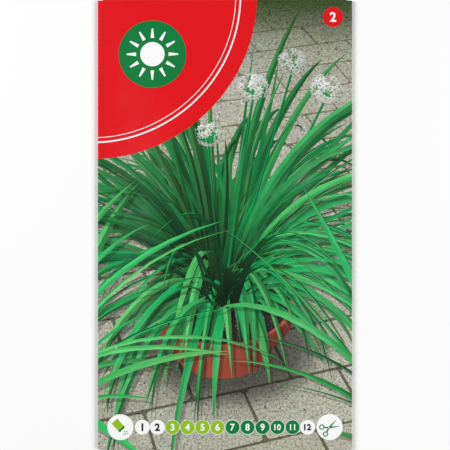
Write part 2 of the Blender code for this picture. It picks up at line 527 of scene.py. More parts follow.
PICTURE_SEED = 20
PICTURE_PITCH = radians(40)
EYE_DISTANCE = 330.0
CROWN = np.array([-1.0, -24.0])
LIGHT = np.array([-0.50, -0.10, 0.86])
PAVER = (36.0, 25.0)
PAVER_JOINT = 1.2
PAVER_ROWS = range(-7, 13)
PAVER_COLUMNS = range(-6, 7)
PAVER_CORNER = 1.6
PAVER_WEAR = 0.3
PAVING_TURN = radians(17)
PAVING_REACH = (66, 98)
POT_WALL = 2.4
POT_SHADOW = 0.17
POT_SHADOW_AWAY = np.array([4.0, -1.0])
SOIL_LEVEL = -1.6
SOIL_CRUMBS = 150
CRUMB_GREYS = (0.10, 0.16, 0.30, 0.48)
SIDE_FEET = ((-62.0, -60.0), (66.0, -84.0))
SIDE_CLUMP_SHARE = 6
ROOT_SPREAD = 6.5
FLOWER_HEADS = ((10.0, 46.0, 5.4), (24.0, 55.5, 5.0), (36.0, 45.5, 5.6), (-6.0, 30.0, 4.6))
HEAD_FLORETS = 30
PETALS = 6
STALK_WIDTH = 0.42
LEAF_SHADOW = 0.42
LEAF_SHADOW_AWAY = np.array([1.3, -1.5])
LEAF_SHINE = np.array((0.09, 0.20, 0.10))
TIP_TINT = np.array((0.30, 0.32, 0.05))
INNER_EVERY = 7
TOP_SHADE_FROM = 50
TOP_SHADE_TO = 82
GOLDEN_TURN = pi * (3 - sqrt(5))


def pictured(x, y, z):
    """Place on the print of a point of the pictured scene: x to the right, y away, z up."""
    depth = y * cos(PICTURE_PITCH) - z * sin(PICTURE_PITCH)
    scale = 1 / (1 + depth / EYE_DISTANCE)
    upward = y * sin(PICTURE_PITCH) + z * cos(PICTURE_PITCH)
    return np.stack([CROWN[0] + scale * x, CROWN[1] + scale * upward], axis=-1)


def clump_shade(x, y):
    """Darkness of the ground around the pot, in the shade of the leaves."""
    away = np.hypot((x - CROWN[0] - 3) / 34, (y - CROWN[1] + 16) / 24)
    return 1 - 0.62 * (1 - ease(0.55, 1.35, away))


def lay_paving(sheet, inks, pot_depth, draw):
    """The ground: staggered pavers with dark joints, each of its own tone."""

    def joint_shade(x, y):
        return clump_shade(x, y) * (1 + 0.9 * ease(0, 70, y))

    low, high = (PANEL_LEFT - BLEED, -PANEL_END - BLEED), (PANEL_RIGHT + BLEED, PANEL_END + BLEED)
    sheet.lay(rounded_box(low, high, 0.1, 2), PictureInk(inks.joint, STONE, joint_shade))
    length, breadth = PAVER
    for row in PAVER_ROWS:
        for column in PAVER_COLUMNS:
            left = (column + row % 2 / 2) * length
            low = row * breadth
            outline = []
            corners = rounded_box(
                (left + PAVER_JOINT / 2, low + PAVER_JOINT / 2),
                (left + length - PAVER_JOINT / 2, low + breadth - PAVER_JOINT / 2), PAVER_CORNER, 3
            )
            for x, y in corners:
                x += draw.uniform(-PAVER_WEAR, PAVER_WEAR)
                y += draw.uniform(-PAVER_WEAR, PAVER_WEAR)
                ground_x = x * cos(PAVING_TURN) - y * sin(PAVING_TURN)
                ground_y = x * sin(PAVING_TURN) + y * cos(PAVING_TURN)
                outline.append(pictured(ground_x, ground_y, -pot_depth))
            tone = draw.uniform(0.88, 1.08)
            if (abs(np.mean(outline, axis=0)) < PAVING_REACH).all():
                tint = np.array((1, draw.uniform(0.98, 1.02), draw.uniform(0.94, 1.02)))
                sheet.lay(outline, PictureInk(np.array(inks.stone) * tone, STONE, clump_shade, tint))


def turned_shade(radius, lit):
    """Light on an upright turned band of the pot, by how far across it a point lies."""

    def shade(x, y):
        across = np.clip((x - CROWN[0]) / (radius * 1.03), -1, 1)
        facing = np.sqrt(1 - across ** 2)
        light = np.clip(LIGHT[0] * across + 0.62 * facing, 0, 1)
        return lit * (0.30 + 0.95 * light + 0.10 * np.clip(across, 0, 1) ** 6)

    return shade


def pot_band(sheet, colour, top, bottom, lit, steps=22):
    """A turned band of the pot, from one (radius, height) to another, seen from the front."""
    angles = np.linspace(pi, 2 * pi, steps + 1)
    outline = []
    for (radius, height), turn in ((top, angles), (bottom, angles[::-1])):
        outline += [pictured(radius * cos(a), radius * sin(a), height) for a in turn]
    shade = turned_shade((top[0] + bottom[0]) / 2, lit)
    sheet.lay(outline, PictureInk(colour, CLAY, shade))
    for angle in angles[1:-1]:
        for share in (0.33, 0.66):
            radius = top[0] + (bottom[0] - top[0]) * share
            height = top[1] + (bottom[1] - top[1]) * share
            point = pictured(radius * cos(angle), radius * sin(angle), height)
            sheet.loose_points.append(tuple(point))


def ring_of(radius, height, steps=44):
    """A level circle of the pictured pot."""
    angles = np.linspace(0, 2 * pi, steps, endpoint=False)
    return [pictured(radius * cos(a), radius * sin(a), height) for a in angles]


def lay_pot(sheet, inks, radius, depth, draw):
    """A plain flowerpot: tapering body, deep collar, rounded lip, soil."""
    collar = 0.34 * depth
    for growth in (1.20, 1.12, 1.04, 0.96):
        sheet.veil([p + POT_SHADOW_AWAY for p in ring_of(radius * growth, -depth)], POT_SHADOW)
    clay = inks.terracotta
    for top_share, top, bottom_share, bottom, lit in (
        (0.90, -collar, 0.70, -depth, 0.9),
        (0.925, -collar, 0.90, -collar - 1.7, 0.42),
        (1.0, -0.5, 0.965, -collar, 1.02),
        (0.99, -collar * 0.30, 0.99, -collar * 0.36, 0.75),
        (1.0, 0.0, 1.0, -0.9, 1.28),
    ):
        pot_band(sheet, clay, (radius * top_share, top), (radius * bottom_share, bottom), lit)
    sheet.lay(ring_of(radius, 0.0), PictureInk(clay, CLAY, tone=1.12))
    inner = radius - POT_WALL
    sheet.lay(ring_of(inner, -0.3), PictureInk(clay, CLAY, tone=0.45))

    def soil_shade(x, y):
        return 0.55 + 0.75 * ease(0.2, 1.0, np.hypot((x - CROWN[0]) / inner, (y - CROWN[1]) / (inner * 0.6)))

    soil_edge = [p + np.array([0.3, -0.5]) for p in ring_of(inner - 0.4, SOIL_LEVEL)]
    sheet.lay(soil_edge, PictureInk(inks.soil, SOIL, soil_shade))
    for _ in range(SOIL_CRUMBS):
        angle = draw.uniform(0, tau)
        away = inner * sqrt(draw.random()) * 0.93
        size = draw.uniform(0.18, 0.5)
        middle = pictured(away * cos(angle), away * sin(angle), SOIL_LEVEL)
        corners = [
            middle + size * draw.uniform(0.6, 1.1) * np.array([cos(a), 0.75 * sin(a)])
            for a in np.linspace(0, tau, 5, endpoint=False) + draw.uniform(0, 1)
        ]
        sheet.lay(corners, PictureInk((1.0, 0.92, 0.8), tone=draw.choice(CRUMB_GREYS)))


class Leaf:
    """One strap leaf: a flat arch in the pictured scene, with a shallow keel."""

    steps = 13
    keel = radians(24)

    def __init__(self, draw, number, settings, inks, foot=(0.0, 0.0)):
        self.number = number
        azimuth = (number * GOLDEN_TURN + draw.uniform(-0.25, 0.25)) % tau
        toward_eye = max(0.0, -cos(azimuth))
        length = settings.leaf_length / MM * draw.uniform(0.52, 1.0) * (1 - 0.06 * toward_eye)
        width = settings.leaf_width / MM * draw.choice((0.45, 0.65, 0.8, 0.9, 1.0)) * draw.uniform(0.85, 1.0)
        rise = radians(draw.uniform(46, 86))
        fall = radians(draw.uniform(-62, 34) - 34 * toward_eye)
        if number % INNER_EVERY == 0:
            length *= draw.uniform(0.32, 0.55)
            rise = radians(draw.uniform(66, 89))
            fall = radians(draw.uniform(5, 60))
        share = np.linspace(0, 1, self.steps + 1)
        middle = (share[:-1] + share[1:]) / 2
        elevation = rise + (fall - rise) * middle ** draw.uniform(1.0, 1.7)
        heading = azimuth + draw.uniform(-0.35, 0.35) * middle
        run = np.stack([
            np.cos(elevation) * np.sin(heading), np.cos(elevation) * np.cos(heading), np.sin(elevation)
        ], axis=1)
        root_away = ROOT_SPREAD * sqrt(draw.random())
        root_angle = azimuth + draw.uniform(-0.9, 0.9)
        root = np.array([
            foot[0] + root_away * sin(root_angle), foot[1] + root_away * cos(root_angle), -1.5
        ])
        self.line = np.vstack([root, root + np.cumsum(run * length / self.steps, axis=0)])
        along = np.gradient(self.line, axis=0)
        self.along = along / np.linalg.norm(along, axis=1)[:, None]
        level = np.tile([np.cos(azimuth), -np.sin(azimuth), 0.0], (len(share), 1))
        above = np.cross(level, self.along)
        twist = draw.uniform(-0.9, 0.9) * share
        self.side = level * np.cos(twist)[:, None] + above * np.sin(twist)[:, None]
        self.above = np.cross(self.side, self.along)
        self.share = share
        pale = draw.random() ** 2.2
        tone = np.array(inks.leaf) * (1 - pale) + np.array(inks.young_leaf) * pale
        self.tone = tone * draw.uniform(0.72, 1.12)
        self.tip_tone = self.tone * 0.75 + TIP_TINT * 0.25 * draw.random()
        half_width = width / 2 * np.minimum(1, 0.55 + 2.2 * share) * (1 - share ** 4.4)
        reach = self.side * half_width[:, None]
        self.rims = [pictured(*(self.line + side * reach).T) for side in (0, -1, 1)]

    def nearness(self):
        """How near the eye the leaf's middle is."""
        middle = self.line[self.steps // 2: self.steps - 2].mean(axis=0)
        return middle[2] * sin(PICTURE_PITCH) - middle[1] * cos(PICTURE_PITCH)

    def tones(self, side, layer):
        """Colours from root to tip of one half, in a layer from 0 for the farthest to 1 for the nearest."""
        normal = self.above * cos(self.keel) + side * self.side * sin(self.keel)
        eye = np.array([0, -cos(PICTURE_PITCH), sin(PICTURE_PITCH)])
        facing = normal @ eye
        normal = normal * np.where(facing < 0, -1, 1)[:, None]
        light = np.clip(normal @ LIGHT, 0, 1)
        half_way = LIGHT / np.linalg.norm(LIGHT) + eye
        shine = np.clip(normal @ (half_way / np.linalg.norm(half_way)), 0, 1) ** 14
        out = np.linalg.norm(self.line - self.line[0], axis=1)
        depth = 0.15 + 0.85 * ease(1, 38, out * (1.0 - 0.2 * layer))
        tone = self.tone + (self.tip_tone - self.tone) * (self.share ** 4)[:, None]
        lit = tone * ((0.17 + 1.1 * light) * depth * (0.45 + 0.70 * layer))[:, None]
        return lit + LEAF_SHINE * (shine * depth * layer)[:, None]

    def lay(self, sheet, layer):
        """Lay the leaf's two halves."""
        middle, *rims = self.rims
        for side, rim in zip((-1, 1), rims):
            outline = list(middle) + list(rim[-2::-1])
            sheet.lay_in_picture(outline, LeafInk(self.tones(side, layer), middle, side, self.number))

    def shadow(self, sheet):
        """Lay the shadow that the leaf throws on what is behind it."""
        _, left, right = self.rims
        start = self.steps // 3
        outline = list(left[start:]) + list(right[-2:start - 1:-1])
        sheet.veil([point + LEAF_SHADOW_AWAY for point in outline], LEAF_SHADOW)


def lay_clump(sheet, inks, settings, draw):
    """All the leaves, far ones first and darkest."""
    leaves = [Leaf(draw, number, settings, inks) for number in range(settings.leaves)]
    for foot in SIDE_FEET:
        first = len(leaves)
        last = first + settings.leaves // SIDE_CLUMP_SHARE
        leaves += [Leaf(draw, number, settings, inks, foot) for number in range(first, last)]
    leaves.sort(key=Leaf.nearness)
    shadowed = len(leaves) * 4 // 10
    for place, leaf in enumerate(leaves):
        if place > shadowed:
            leaf.shadow(sheet)
        leaf.lay(sheet, place / len(leaves))
        if place == shadowed:
            lay_flowers(sheet, inks, draw)


def lay_floret(sheet, inks, centre, radius, facing, turn, light):
    """One star-shaped floret: six pointed petals round a green eye, seen from aside."""
    lean = max(0.35, facing[2])
    away = atan2(facing[1], facing[0])
    squash = np.array([[cos(away), -sin(away)], [sin(away), cos(away)]])
    flatten = squash @ np.diag([lean, 1.0]) @ squash.T
    petal = np.array([(0.10, 0.0), (0.50, -0.21), (0.82, -0.13), (1.0, 0.0), (0.82, 0.13), (0.50, 0.21)])
    for number in range(PETALS):
        angle = turn + tau * number / PETALS
        spin = np.array([[cos(angle), -sin(angle)], [sin(angle), cos(angle)]])
        outline = centre + (petal * radius) @ spin.T @ flatten.T
        tone = light * (0.86 + 0.14 * cos(angle - 2.2))
        sheet.lay(outline, PictureInk(inks.white, tone=tone))
    sheet.lay(disc(centre, radius * 0.17, 8), PictureInk(inks.dot_lime, tone=0.8 * light))


def lay_flowers(sheet, inks, draw):
    """White flower heads on thin stalks that rise from the clump."""
    stalk = np.array(inks.leaf) * 0.62
    for x, y, reach in FLOWER_HEADS:
        head = np.array([x, y])
        root = CROWN + np.array([x * 0.12, 2.0])
        bow = np.array([x * 0.18, 16.0])
        share = np.linspace(0, 1, 15)[:, None]
        bend = (root + head) / 2 + bow * 0.35
        line = (1 - share) ** 2 * root + 2 * share * (1 - share) * bend + share ** 2 * head
        side = np.stack([np.gradient(line[:, 1]), -np.gradient(line[:, 0])], axis=1)
        side /= np.linalg.norm(side, axis=1)[:, None]
        for sign, tone in ((1, 0.55), (-1, 1.15)):
            outline = [*line, *(line + sign * STALK_WIDTH * side)[::-1]]
            sheet.lay(outline, PictureInk(stalk, tone=tone))
        florets = []
        for _ in range(HEAD_FLORETS):
            turn, height = draw.uniform(0, tau), draw.uniform(-0.25, 1.0)
            out = sqrt(1 - height * height)
            florets.append((out * cos(turn), out * sin(turn) * 0.9 + 0.12, height))
        florets.sort(key=lambda facing: facing[2])
        centres = [head + reach * np.array(facing[:2]) + np.array([0.0, reach * 0.35]) for facing in florets]
        for centre in centres:
            sheet.lay(bar(head, centre, 0.28, 0.2), PictureInk(stalk, tone=1.2))
        for centre, facing in zip(centres, florets):
            light = 0.50 + 0.32 * max(0.0, facing[2]) + 0.18 * max(0.0, facing[1] - 0.4 * facing[0])
            lay_floret(sheet, inks, centre, reach * 0.34, facing, draw.uniform(0, 1), light)


# The graphic shapes over the picture.

CORNER_RADIUS = 56.0
SUN_DISC_RADIUS = 12.0
DOT_ROW_Y = -71.5
DOT_RADIUS = 2.64
DOT_RING = 0.14
DOT_PITCH = 5.31
LARGE_DOT_RADIUS = 4.6
LARGE_DOT_X = 37.0
NUMBER_DOT = (38.2, 73.6)
NUMBER_DOT_RADIUS = 3.55
FIRST_SOWING, LAST_SOWING = 3, 6
LAST_PICKING = 11
SCISSORS_TURN = 28
PACKET_TURN = 42
DROPPED_SEEDS = ((1.5, -1.6), (2.3, -1.5), (1.8, -2.4), (2.6, -2.3), (1.2, -2.7))
BACK_MARGIN = 7
BACK_SIGN_Y = 33
BACK_SIGN_PITCH = 22
BACK_SIGN_RADIUS = 9
RULED_LINES = 6


def lay_corner_panel(sheet, inks):
    """A quarter-round red panel in the top left corner, with two thin white lines."""
    corner = (PANEL_LEFT - BLEED, PANEL_END + BLEED)
    red = Ink(inks.corner_red)
    white = Ink(inks.white)
    sheet.lay([corner] + arc(corner, CORNER_RADIUS + BLEED, 270, 360, 40), red)
    for radius, width in ((CORNER_RADIUS - 3.6, 0.55), (CORNER_RADIUS - 5.4, 0.25)):
        line = arc(corner, radius, 270, 360, 40) + arc(corner, radius - width, 360, 270, 40)
        sheet.lay(line, white)


def lay_sun(sheet, inks, centre, radius):
    """A common sun pictogram: full sun."""
    white = Ink(inks.white)
    sheet.lay(disc(centre, radius, 48), Ink(inks.dot_green))
    sheet.lay(disc(centre, radius * 0.36, 36), white)
    for ray in range(12):
        angle = tau * ray / 12
        direction = np.array([cos(angle), sin(angle)])
        near, far = centre + direction * radius * 0.48, centre + direction * radius * 0.76
        sheet.lay(bar(near, far, radius * 0.108, radius * 0.042), white)


def lay_drop(sheet, inks, centre, radius):
    """A common pictogram: water."""
    sheet.lay(disc(centre, radius, 40), Ink(inks.dot_green))
    tip = np.add(centre, (0.0, radius * 0.68))
    belly = arc(np.add(centre, (0.0, -radius * 0.20)), radius * 0.38, 150, 390, 24)
    sheet.lay([tip, *belly], Ink(inks.white))


def lay_sprout(sheet, inks, centre, radius):
    """A common pictogram: a sprout over the line of the ground."""
    white = Ink(inks.white)
    sheet.lay(disc(centre, radius, 40), Ink(inks.dot_green))
    for start, end in (((-0.6, -0.42), (0.6, -0.42)), ((0.0, -0.42), (0.0, 0.12))):
        start, end = (np.add(centre, radius * np.array(point)) for point in (start, end))
        sheet.lay(bar(start, end, radius * 0.10), white)
    blade = arc((0.0, -radius * 0.34), radius * 0.48, 45, 135, 10)
    blade += arc((0.0, radius * 0.34), radius * 0.48, 225, 315, 10)
    for side in (-1, 1):
        middle = np.add(centre, (side * radius * 0.26, radius * 0.28))
        sheet.lay(turned([middle + point for point in blade], middle, side * 38), white)


def lay_months(sheet, inks):
    """Twelve numbered discs for the months of the year."""
    white, dark = Ink(inks.white), Ink(inks.dark_text)
    lime, green = Ink(inks.dot_lime), Ink(inks.dot_green)
    for month in range(1, 13):
        centre = ((month - 6.5) * DOT_PITCH, DOT_ROW_Y)
        sheet.lay(disc(centre, DOT_RADIUS), white)
        if FIRST_SOWING <= month <= LAST_PICKING:
            sheet.lay(disc(centre, DOT_RADIUS - DOT_RING), lime if month <= LAST_SOWING else green)
            sheet.number(str(month), centre, 2.45 if month < 10 else 2.1, white)
        else:
            sheet.number(str(month), centre, 2.6 if month < 10 else 2.2, dark, 0.062)


def lay_scissors(sheet, inks, centre):
    """A common pictogram: cut here, or time to pick."""
    dark, white = Ink(inks.dot_green), Ink(inks.white)
    sheet.lay(disc(centre, LARGE_DOT_RADIUS, 40), white)
    pivot = np.add(centre, (-0.2, -0.2))
    for side in (-1, 1):
        blade = radians(SCISSORS_TURN + side * 19)
        direction = np.array([cos(blade), sin(blade)])
        sheet.lay(bar(pivot - 0.5 * direction, pivot + 3.7 * direction, 0.85, 0.15), dark)
        grip = radians(SCISSORS_TURN + side * 33)
        backward = np.array([cos(grip), sin(grip)])
        sheet.lay(bar(pivot, pivot - 2.0 * backward, 0.55), dark)
        ring = pivot - 2.6 * backward
        sheet.lay(disc(ring, 0.95, 24), dark)
        sheet.lay(disc(ring, 0.55, 20), white)
    sheet.lay(disc(pivot, 0.24, 10), white)


def lay_sowing(sheet, inks, centre):
    """A common pictogram: a tipped packet with seeds that drop from it."""
    lime, green, white = Ink(inks.dot_lime), Ink(inks.dot_green), Ink(inks.white)
    sheet.lay(disc(centre, LARGE_DOT_RADIUS, 40), white)
    middle = np.add(centre, (-0.7, 0.6))
    low = np.add(middle, (-1.35, -2.1))
    for high, ink in (((1.35, 2.1), lime), ((1.35, -1.4), green)):
        sheet.lay(turned(rounded_box(low, np.add(middle, high), 0.2, 3), middle, PACKET_TURN), ink)
    for seed in DROPPED_SEEDS:
        sheet.lay(disc(np.add(centre, seed), 0.24, 10), green)


def lay_number_dot(sheet, inks):
    """A small red disc with a plain number."""
    sheet.lay(disc(NUMBER_DOT, NUMBER_DOT_RADIUS, 36), Ink(inks.corner_red))
    sheet.number("2", NUMBER_DOT, 3.4, Ink(inks.white))


def lay_back(sheet, inks):
    """The tinted back and flaps: a green band, three pictograms and a pale panel with ruled lines."""
    tint, white, green = Ink(inks.back), Ink(inks.white), Ink(inks.dot_green)
    left, right, end = PANEL_LEFT - BLEED, PANEL_RIGHT + BLEED, PANEL_END + BLEED
    for low, high in (
        ((BLANK_LEFT - 1, -BLANK_END - 1), (left, BLANK_END + 1)),
        ((right, -BLANK_END - 1), (BLANK_RIGHT + 1, BLANK_END + 1)),
        ((left - 1, end), (right + 1, BLANK_END + 1)),
        ((left - 1, -BLANK_END - 1), (right + 1, -end)),
    ):
        sheet.lay(rounded_box(low, high, 0.01, 2), tint)
    middle = (BACK_START + BLANK_RIGHT) / 2
    half = (BLANK_RIGHT - BACK_START) / 2 - BACK_MARGIN
    sheet.lay(rounded_box((middle - half, -58), (middle + half, 18), 3), white)
    sheet.lay(rounded_box((middle - half, 48), (middle + half, 60), 3), green)
    for line in range(RULED_LINES):
        level = 6 - 11 * line
        sheet.lay(bar((middle - half + 5, level), (middle + half - 5, level), 0.25), green)
    for place, lay_sign in ((-1, lay_sun), (0, lay_drop), (1, lay_sprout)):
        lay_sign(sheet, inks, (middle + place * BACK_SIGN_PITCH, BACK_SIGN_Y), BACK_SIGN_RADIUS)


def print_packet(inks, settings):
    """Everything on the blank, from the paper up."""
    sheet = Print()
    draw = random.Random(PICTURE_SEED)
    left, right, end = BLANK_LEFT, BLANK_RIGHT, BLANK_END
    flap_left, flap_right = PANEL_LEFT + END_FLAP_INSET / MM, PANEL_RIGHT - END_FLAP_INSET / MM
    blank = [(left, -PANEL_END), (flap_left, -PANEL_END), (flap_left, -end), (flap_right, -end)]
    blank += [(flap_right, -PANEL_END), (right, -PANEL_END), (right, PANEL_END), (flap_right, PANEL_END)]
    blank += [(flap_right, end), (flap_left, end), (flap_left, PANEL_END), (left, PANEL_END)]
    sheet.lay(blank, Ink(inks.back))
    for start, finish in zip(blank, blank[1:] + blank[:1]):
        sheet.crease(start, finish)
    lay_paving(sheet, inks, settings.pot_depth / MM, draw)
    lay_pot(sheet, inks, settings.pot_radius / MM, settings.pot_depth / MM, draw)
    lay_clump(sheet, inks, settings, draw)
    lay_back(sheet, inks)
    lay_corner_panel(sheet, inks)
    lay_sun(sheet, inks, (PANEL_LEFT + 19.0, PANEL_END - 19.0), SUN_DISC_RADIUS)
    lay_number_dot(sheet, inks)
    lay_months(sheet, inks)
    lay_sowing(sheet, inks, (-LARGE_DOT_X, DOT_ROW_Y))
    lay_scissors(sheet, inks, (LARGE_DOT_X, DOT_ROW_Y))
    add_creases(sheet)
    return sheet


def add_creases(sheet):
    """Lines round the folds, and loose points that carry the swelling."""
    turns = np.linspace(0, pi, FOLD_LINES)
    for start, radius, sign in ((FRONT_RIGHT, RIGHT_FOLD, 1), (FRONT_LEFT, LEFT_FOLD, -1)):
        for turn in turns:
            u = sign * (start + turn * radius) / MM
            sheet.crease((u, -PANEL_END), (u, PANEL_END))
    for sign in (-1, 1):
        for turn in turns:
            v = sign * (FRONT_END + turn * END_FOLD) / MM
            sheet.crease((PANEL_LEFT, v), (PANEL_RIGHT, v))
    for u in np.arange(PANEL_LEFT + 2, PANEL_RIGHT - 1, SWELL_PITCH):
        for v in np.arange(-PANEL_END + 2, PANEL_END - 1, SWELL_PITCH):
            sheet.loose_points.append((u, v))


# Shaders.

# The places of a Mix node's colour sockets, which share their names with others.
MIX_FACTOR, MIX_FIRST, MIX_SECOND, MIX_RESULT = 0, 6, 7, 2


class Value:
    """A shader socket that takes part in Python arithmetic by adding Math nodes."""

    def __init__(self, tree, socket):
        self.tree = tree
        self.socket = socket

    def maths(self, operation, *operands):
        """Add a Math node on sockets or numbers."""
        node = self.tree.nodes.new("ShaderNodeMath")
        node.operation = operation
        for slot, operand in zip(node.inputs, operands):
            plug(self.tree, slot, operand)
        return Value(self.tree, node.outputs[0])

    def __add__(self, other):
        return self.maths("ADD", self, other)

    __radd__ = __add__

    def __mul__(self, other):
        return self.maths("MULTIPLY", self, other)

    __rmul__ = __mul__

    def __sub__(self, other):
        return self.maths("SUBTRACT", self, other)

    def __rsub__(self, other):
        return self.maths("SUBTRACT", other, self)

    def __truediv__(self, other):
        return self.maths("DIVIDE", self, other)

    def __pow__(self, other):
        return self.maths("POWER", self, other)

    def __abs__(self):
        return self.maths("ABSOLUTE", self)

    def at_least(self, other):
        return self.maths("MAXIMUM", self, other)


def plug(tree, slot, value):
    """Link a socket or set a value."""
    if isinstance(value, Value):
        tree.links.new(value.socket, slot)
    else:
        slot.default_value = value


class Finish:
    """A material being built: one Principled shader and the nodes before it."""

    def __init__(self, name):
        self.material = bpy.data.materials.new(name)
        self.material.use_nodes = True
        self.tree = self.material.node_tree
        self.shader = self.tree.nodes["Principled BSDF"]

    def node(self, kind, settings=None, values=None, output=0):
        """Add a node: its settings first, then its sockets; gives one output."""
        node = self.tree.nodes.new(kind)
        for name, setting in (settings or {}).items():
            setattr(node, name, setting)
        for name, value in (values or {}).items():
            plug(self.tree, node.inputs[name], value)
        return Value(self.tree, node.outputs[output])

    def set(self, **values):
        """Set or link the shader's own sockets, with _ for a space in a name."""
        for name, value in values.items():
            plug(self.tree, self.shader.inputs[name.replace("_", " ")], value)

    def attribute(self, name, output="Color"):
        return self.node("ShaderNodeAttribute", {"attribute_name": name}, output=output)

    def parts(self, vector):
        """The three numbers of a vector or colour."""
        first = self.node("ShaderNodeSeparateXYZ", values={"Vector": vector})
        return [Value(self.tree, out) for out in first.socket.node.outputs]

    def vector(self, x, y, z):
        return self.node("ShaderNodeCombineXYZ", values={"X": x, "Y": y, "Z": z})

    def noise(self, place, scale, detail, roughness):
        return self.node("ShaderNodeTexNoise", values={
            "Vector": place, "Scale": scale, "Detail": detail, "Roughness": roughness})

    def cells(self, place, scale, feature="F1"):
        return self.node("ShaderNodeTexVoronoi", {"feature": feature}, {"Vector": place, "Scale": scale})

    def step(self, value, low, high):
        """A smooth step from low to high."""
        return self.node("ShaderNodeMapRange", {"interpolation_type": "SMOOTHSTEP"}, {
            "Value": value, "From Min": low, "From Max": high})

    def shaded(self, colour, value):
        """A colour times a number."""
        settings = {"data_type": "RGBA", "blend_type": "MULTIPLY"}
        values = {MIX_FACTOR: 1.0, MIX_FIRST: colour, MIX_SECOND: self.vector(value, value, value)}
        return self.node("ShaderNodeMix", settings, values, MIX_RESULT)

    def bump(self, height, distance, strength):
        values = {"Height": height, "Distance": distance, "Strength": strength}
        return self.node("ShaderNodeBump", values=values)


SEED_BLACK = (0.030, 0.026, 0.023, 1.0)
FILM_WHITE = (0.80, 0.80, 0.78, 1.0)
FOLD_SOFTENS = (0.2, 0.3)


def middle_and_reach(box):
    """Middle and half size of a box, in millimetres across and along the packet."""
    low, high = (np.array(corner[:2]) / MM for corner in box)
    return ((low + high) / 2).tolist(), ((high - low) / 2).tolist()


def printed_paper(paper):
    """Coated paper with the print in it, and the swelling seeds and fibres under it."""
    finish = Finish("printed_paper")
    ink = finish.attribute("ink")
    stone, leaf, clay = finish.parts(finish.attribute("grain", "Vector"))
    place = finish.attribute("grain_place", "Vector")
    soil = stone * clay
    stone = stone * (1 - clay)
    clay = clay - soil
    across, along, number = finish.parts(place)

    coarse = finish.noise(place, 0.35, 4.0, 0.65)
    fine = finish.noise(place, 1.3, 4.0, 0.85)
    speck = finish.step(finish.noise(place, 0.95, 4.0, 0.8), 0.56, 0.66)
    pit = finish.step(finish.noise(place, 0.8, 5.0, 0.85), 0.46, 0.37)
    stone_tone = 0.66 + 0.55 * coarse + 3.2 * (fine - 0.5) + 0.45 * speck - 0.80 * pit
    crumb = finish.step(finish.noise(place, 1.25, 4.0, 0.85), 0.53, 0.64)
    soil_tone = 0.35 + 0.9 * fine + 6.0 * crumb * crumb
    clay_tone = 0.86 + 0.28 * finish.noise(place, 0.9, 4.0, 0.7)
    strand = finish.noise(finish.vector(across * 5.0, along * 0.12, number * 3.7), 1.0, 3.0, 0.65)
    patch = finish.noise(finish.vector(across, along * 0.35, number * 1.9), 0.8, 2.0, 0.5)
    leaf_tone = 0.30 + 0.95 * strand + 0.45 * patch
    tone = 1 + stone * (stone_tone - 1) + soil * (soil_tone - 1)
    tone = tone + clay * (clay_tone - 1) + leaf * (leaf_tone - 1)
    finish.set(Base_Color=finish.shaded(ink, tone))

    flat = finish.attribute("blank", "Vector")
    fibre = finish.noise(flat, 4.5, 3.0, 0.6)
    across, along, _ = finish.parts(flat)
    _, (half_width, half_height) = middle_and_reach(SACHET_BOX)
    beyond = (abs(across) / half_width).at_least(abs(along - SWELL_CENTRE_Y / MM) / half_height)
    sachet = finish.step(beyond, 1.06, 0.94)
    (seeds_x, seeds_y), (reach_x, reach_y) = middle_and_reach(SEEDS_BOX)
    away = ((across - seeds_x) / reach_x) ** 2 + ((along - seeds_y) / reach_y) ** 2
    grains = finish.step(away, 1.25, 0.75) * finish.step(finish.cells(flat, 0.34, "SMOOTH_F1"), 0.9, 0.2)
    wave = finish.noise(flat, 0.045, 2.0, 0.5)
    relief = 0.06 * sachet + 0.30 * grains + 1.2 * wave + 0.004 * fibre
    before, after = FOLD_SOFTENS
    side = finish.step(abs(across), PANEL_RIGHT - before, PANEL_RIGHT + after)
    end = finish.step(abs(along), PANEL_END - before, PANEL_END + after)
    finish.set(Roughness=0.31 + 0.08 * fibre + 0.5 * side.at_least(end), Normal=finish.bump(relief, MM, 0.8))
    finish.shader.inputs["Specular IOR Level"].default_value = paper.gloss
    return finish.material


def bare_paper(paper):
    """The paper's unprinted side and its cut edges."""
    finish = Finish("bare_paper")
    flat = finish.attribute("blank", "Vector")
    fibre = finish.noise(flat, 3.0, 4.0, 0.65)
    finish.set(Base_Color=finish.shaded((*paper.paper_white, 1.0), 0.94 + 0.10 * fibre), Roughness=0.78)
    finish.set(Normal=finish.bump(fibre, 0.02 * MM, 0.4))
    return finish.material


def sachet_film():
    """Plain white film with a fine crinkle, its white painted a little darker in the crinkles' hollows as
    painted shade.
    """
    finish = Finish("sachet_film")
    place = finish.node("ShaderNodeTexCoord", output="Object")
    crinkle_and_shade = finish.noise(place, 420.0, 4.0, 0.6)
    # Painted shade: the white is a little darker where the crinkle is low, in its hollows.
    finish.set(Base_Color=finish.shaded(FILM_WHITE, 0.92 + 0.12 * crinkle_and_shade))
    finish.set(Roughness=0.32 + 0.16 * crinkle_and_shade, Normal=finish.bump(crinkle_and_shade, 0.05 * MM, 0.5))
    return finish.material


def seed_husk():
    """Matt black seed coat with fine wrinkles."""
    finish = Finish("seed_husk")
    place = finish.node("ShaderNodeTexCoord", output="Object")
    wrinkle = finish.cells(place, 2600.0)
    tone = finish.noise(place, 900.0, 3.0, 0.6)
    finish.set(Base_Color=finish.shaded(SEED_BLACK, 0.6 + 0.9 * tone))
    finish.set(Roughness=0.55 + 0.2 * tone, Normal=finish.bump(wrinkle, 0.08 * MM, 0.8))
    return finish.material


# Pieces.

# Where the sheet lies on its UV map, in millimetres of the blank.
MAP_MARGIN = 0.8
MAP_BARE_SCALE = 0.06
MAP_BARE_ROOM = 20.0
MAP_EDGE_WIDTH = 1.0
# How far a face may lean from the paper's curve before it counts as a cut edge.
SAME_CURVE = 0.75


def write_attribute(mesh, name, kind, domain, field, values):
    """Store one attribute from an array."""
    attribute = mesh.attributes.new(name, kind, domain)
    attribute.data.foreach_set(field, np.ascontiguousarray(values, dtype=np.float32).ravel())


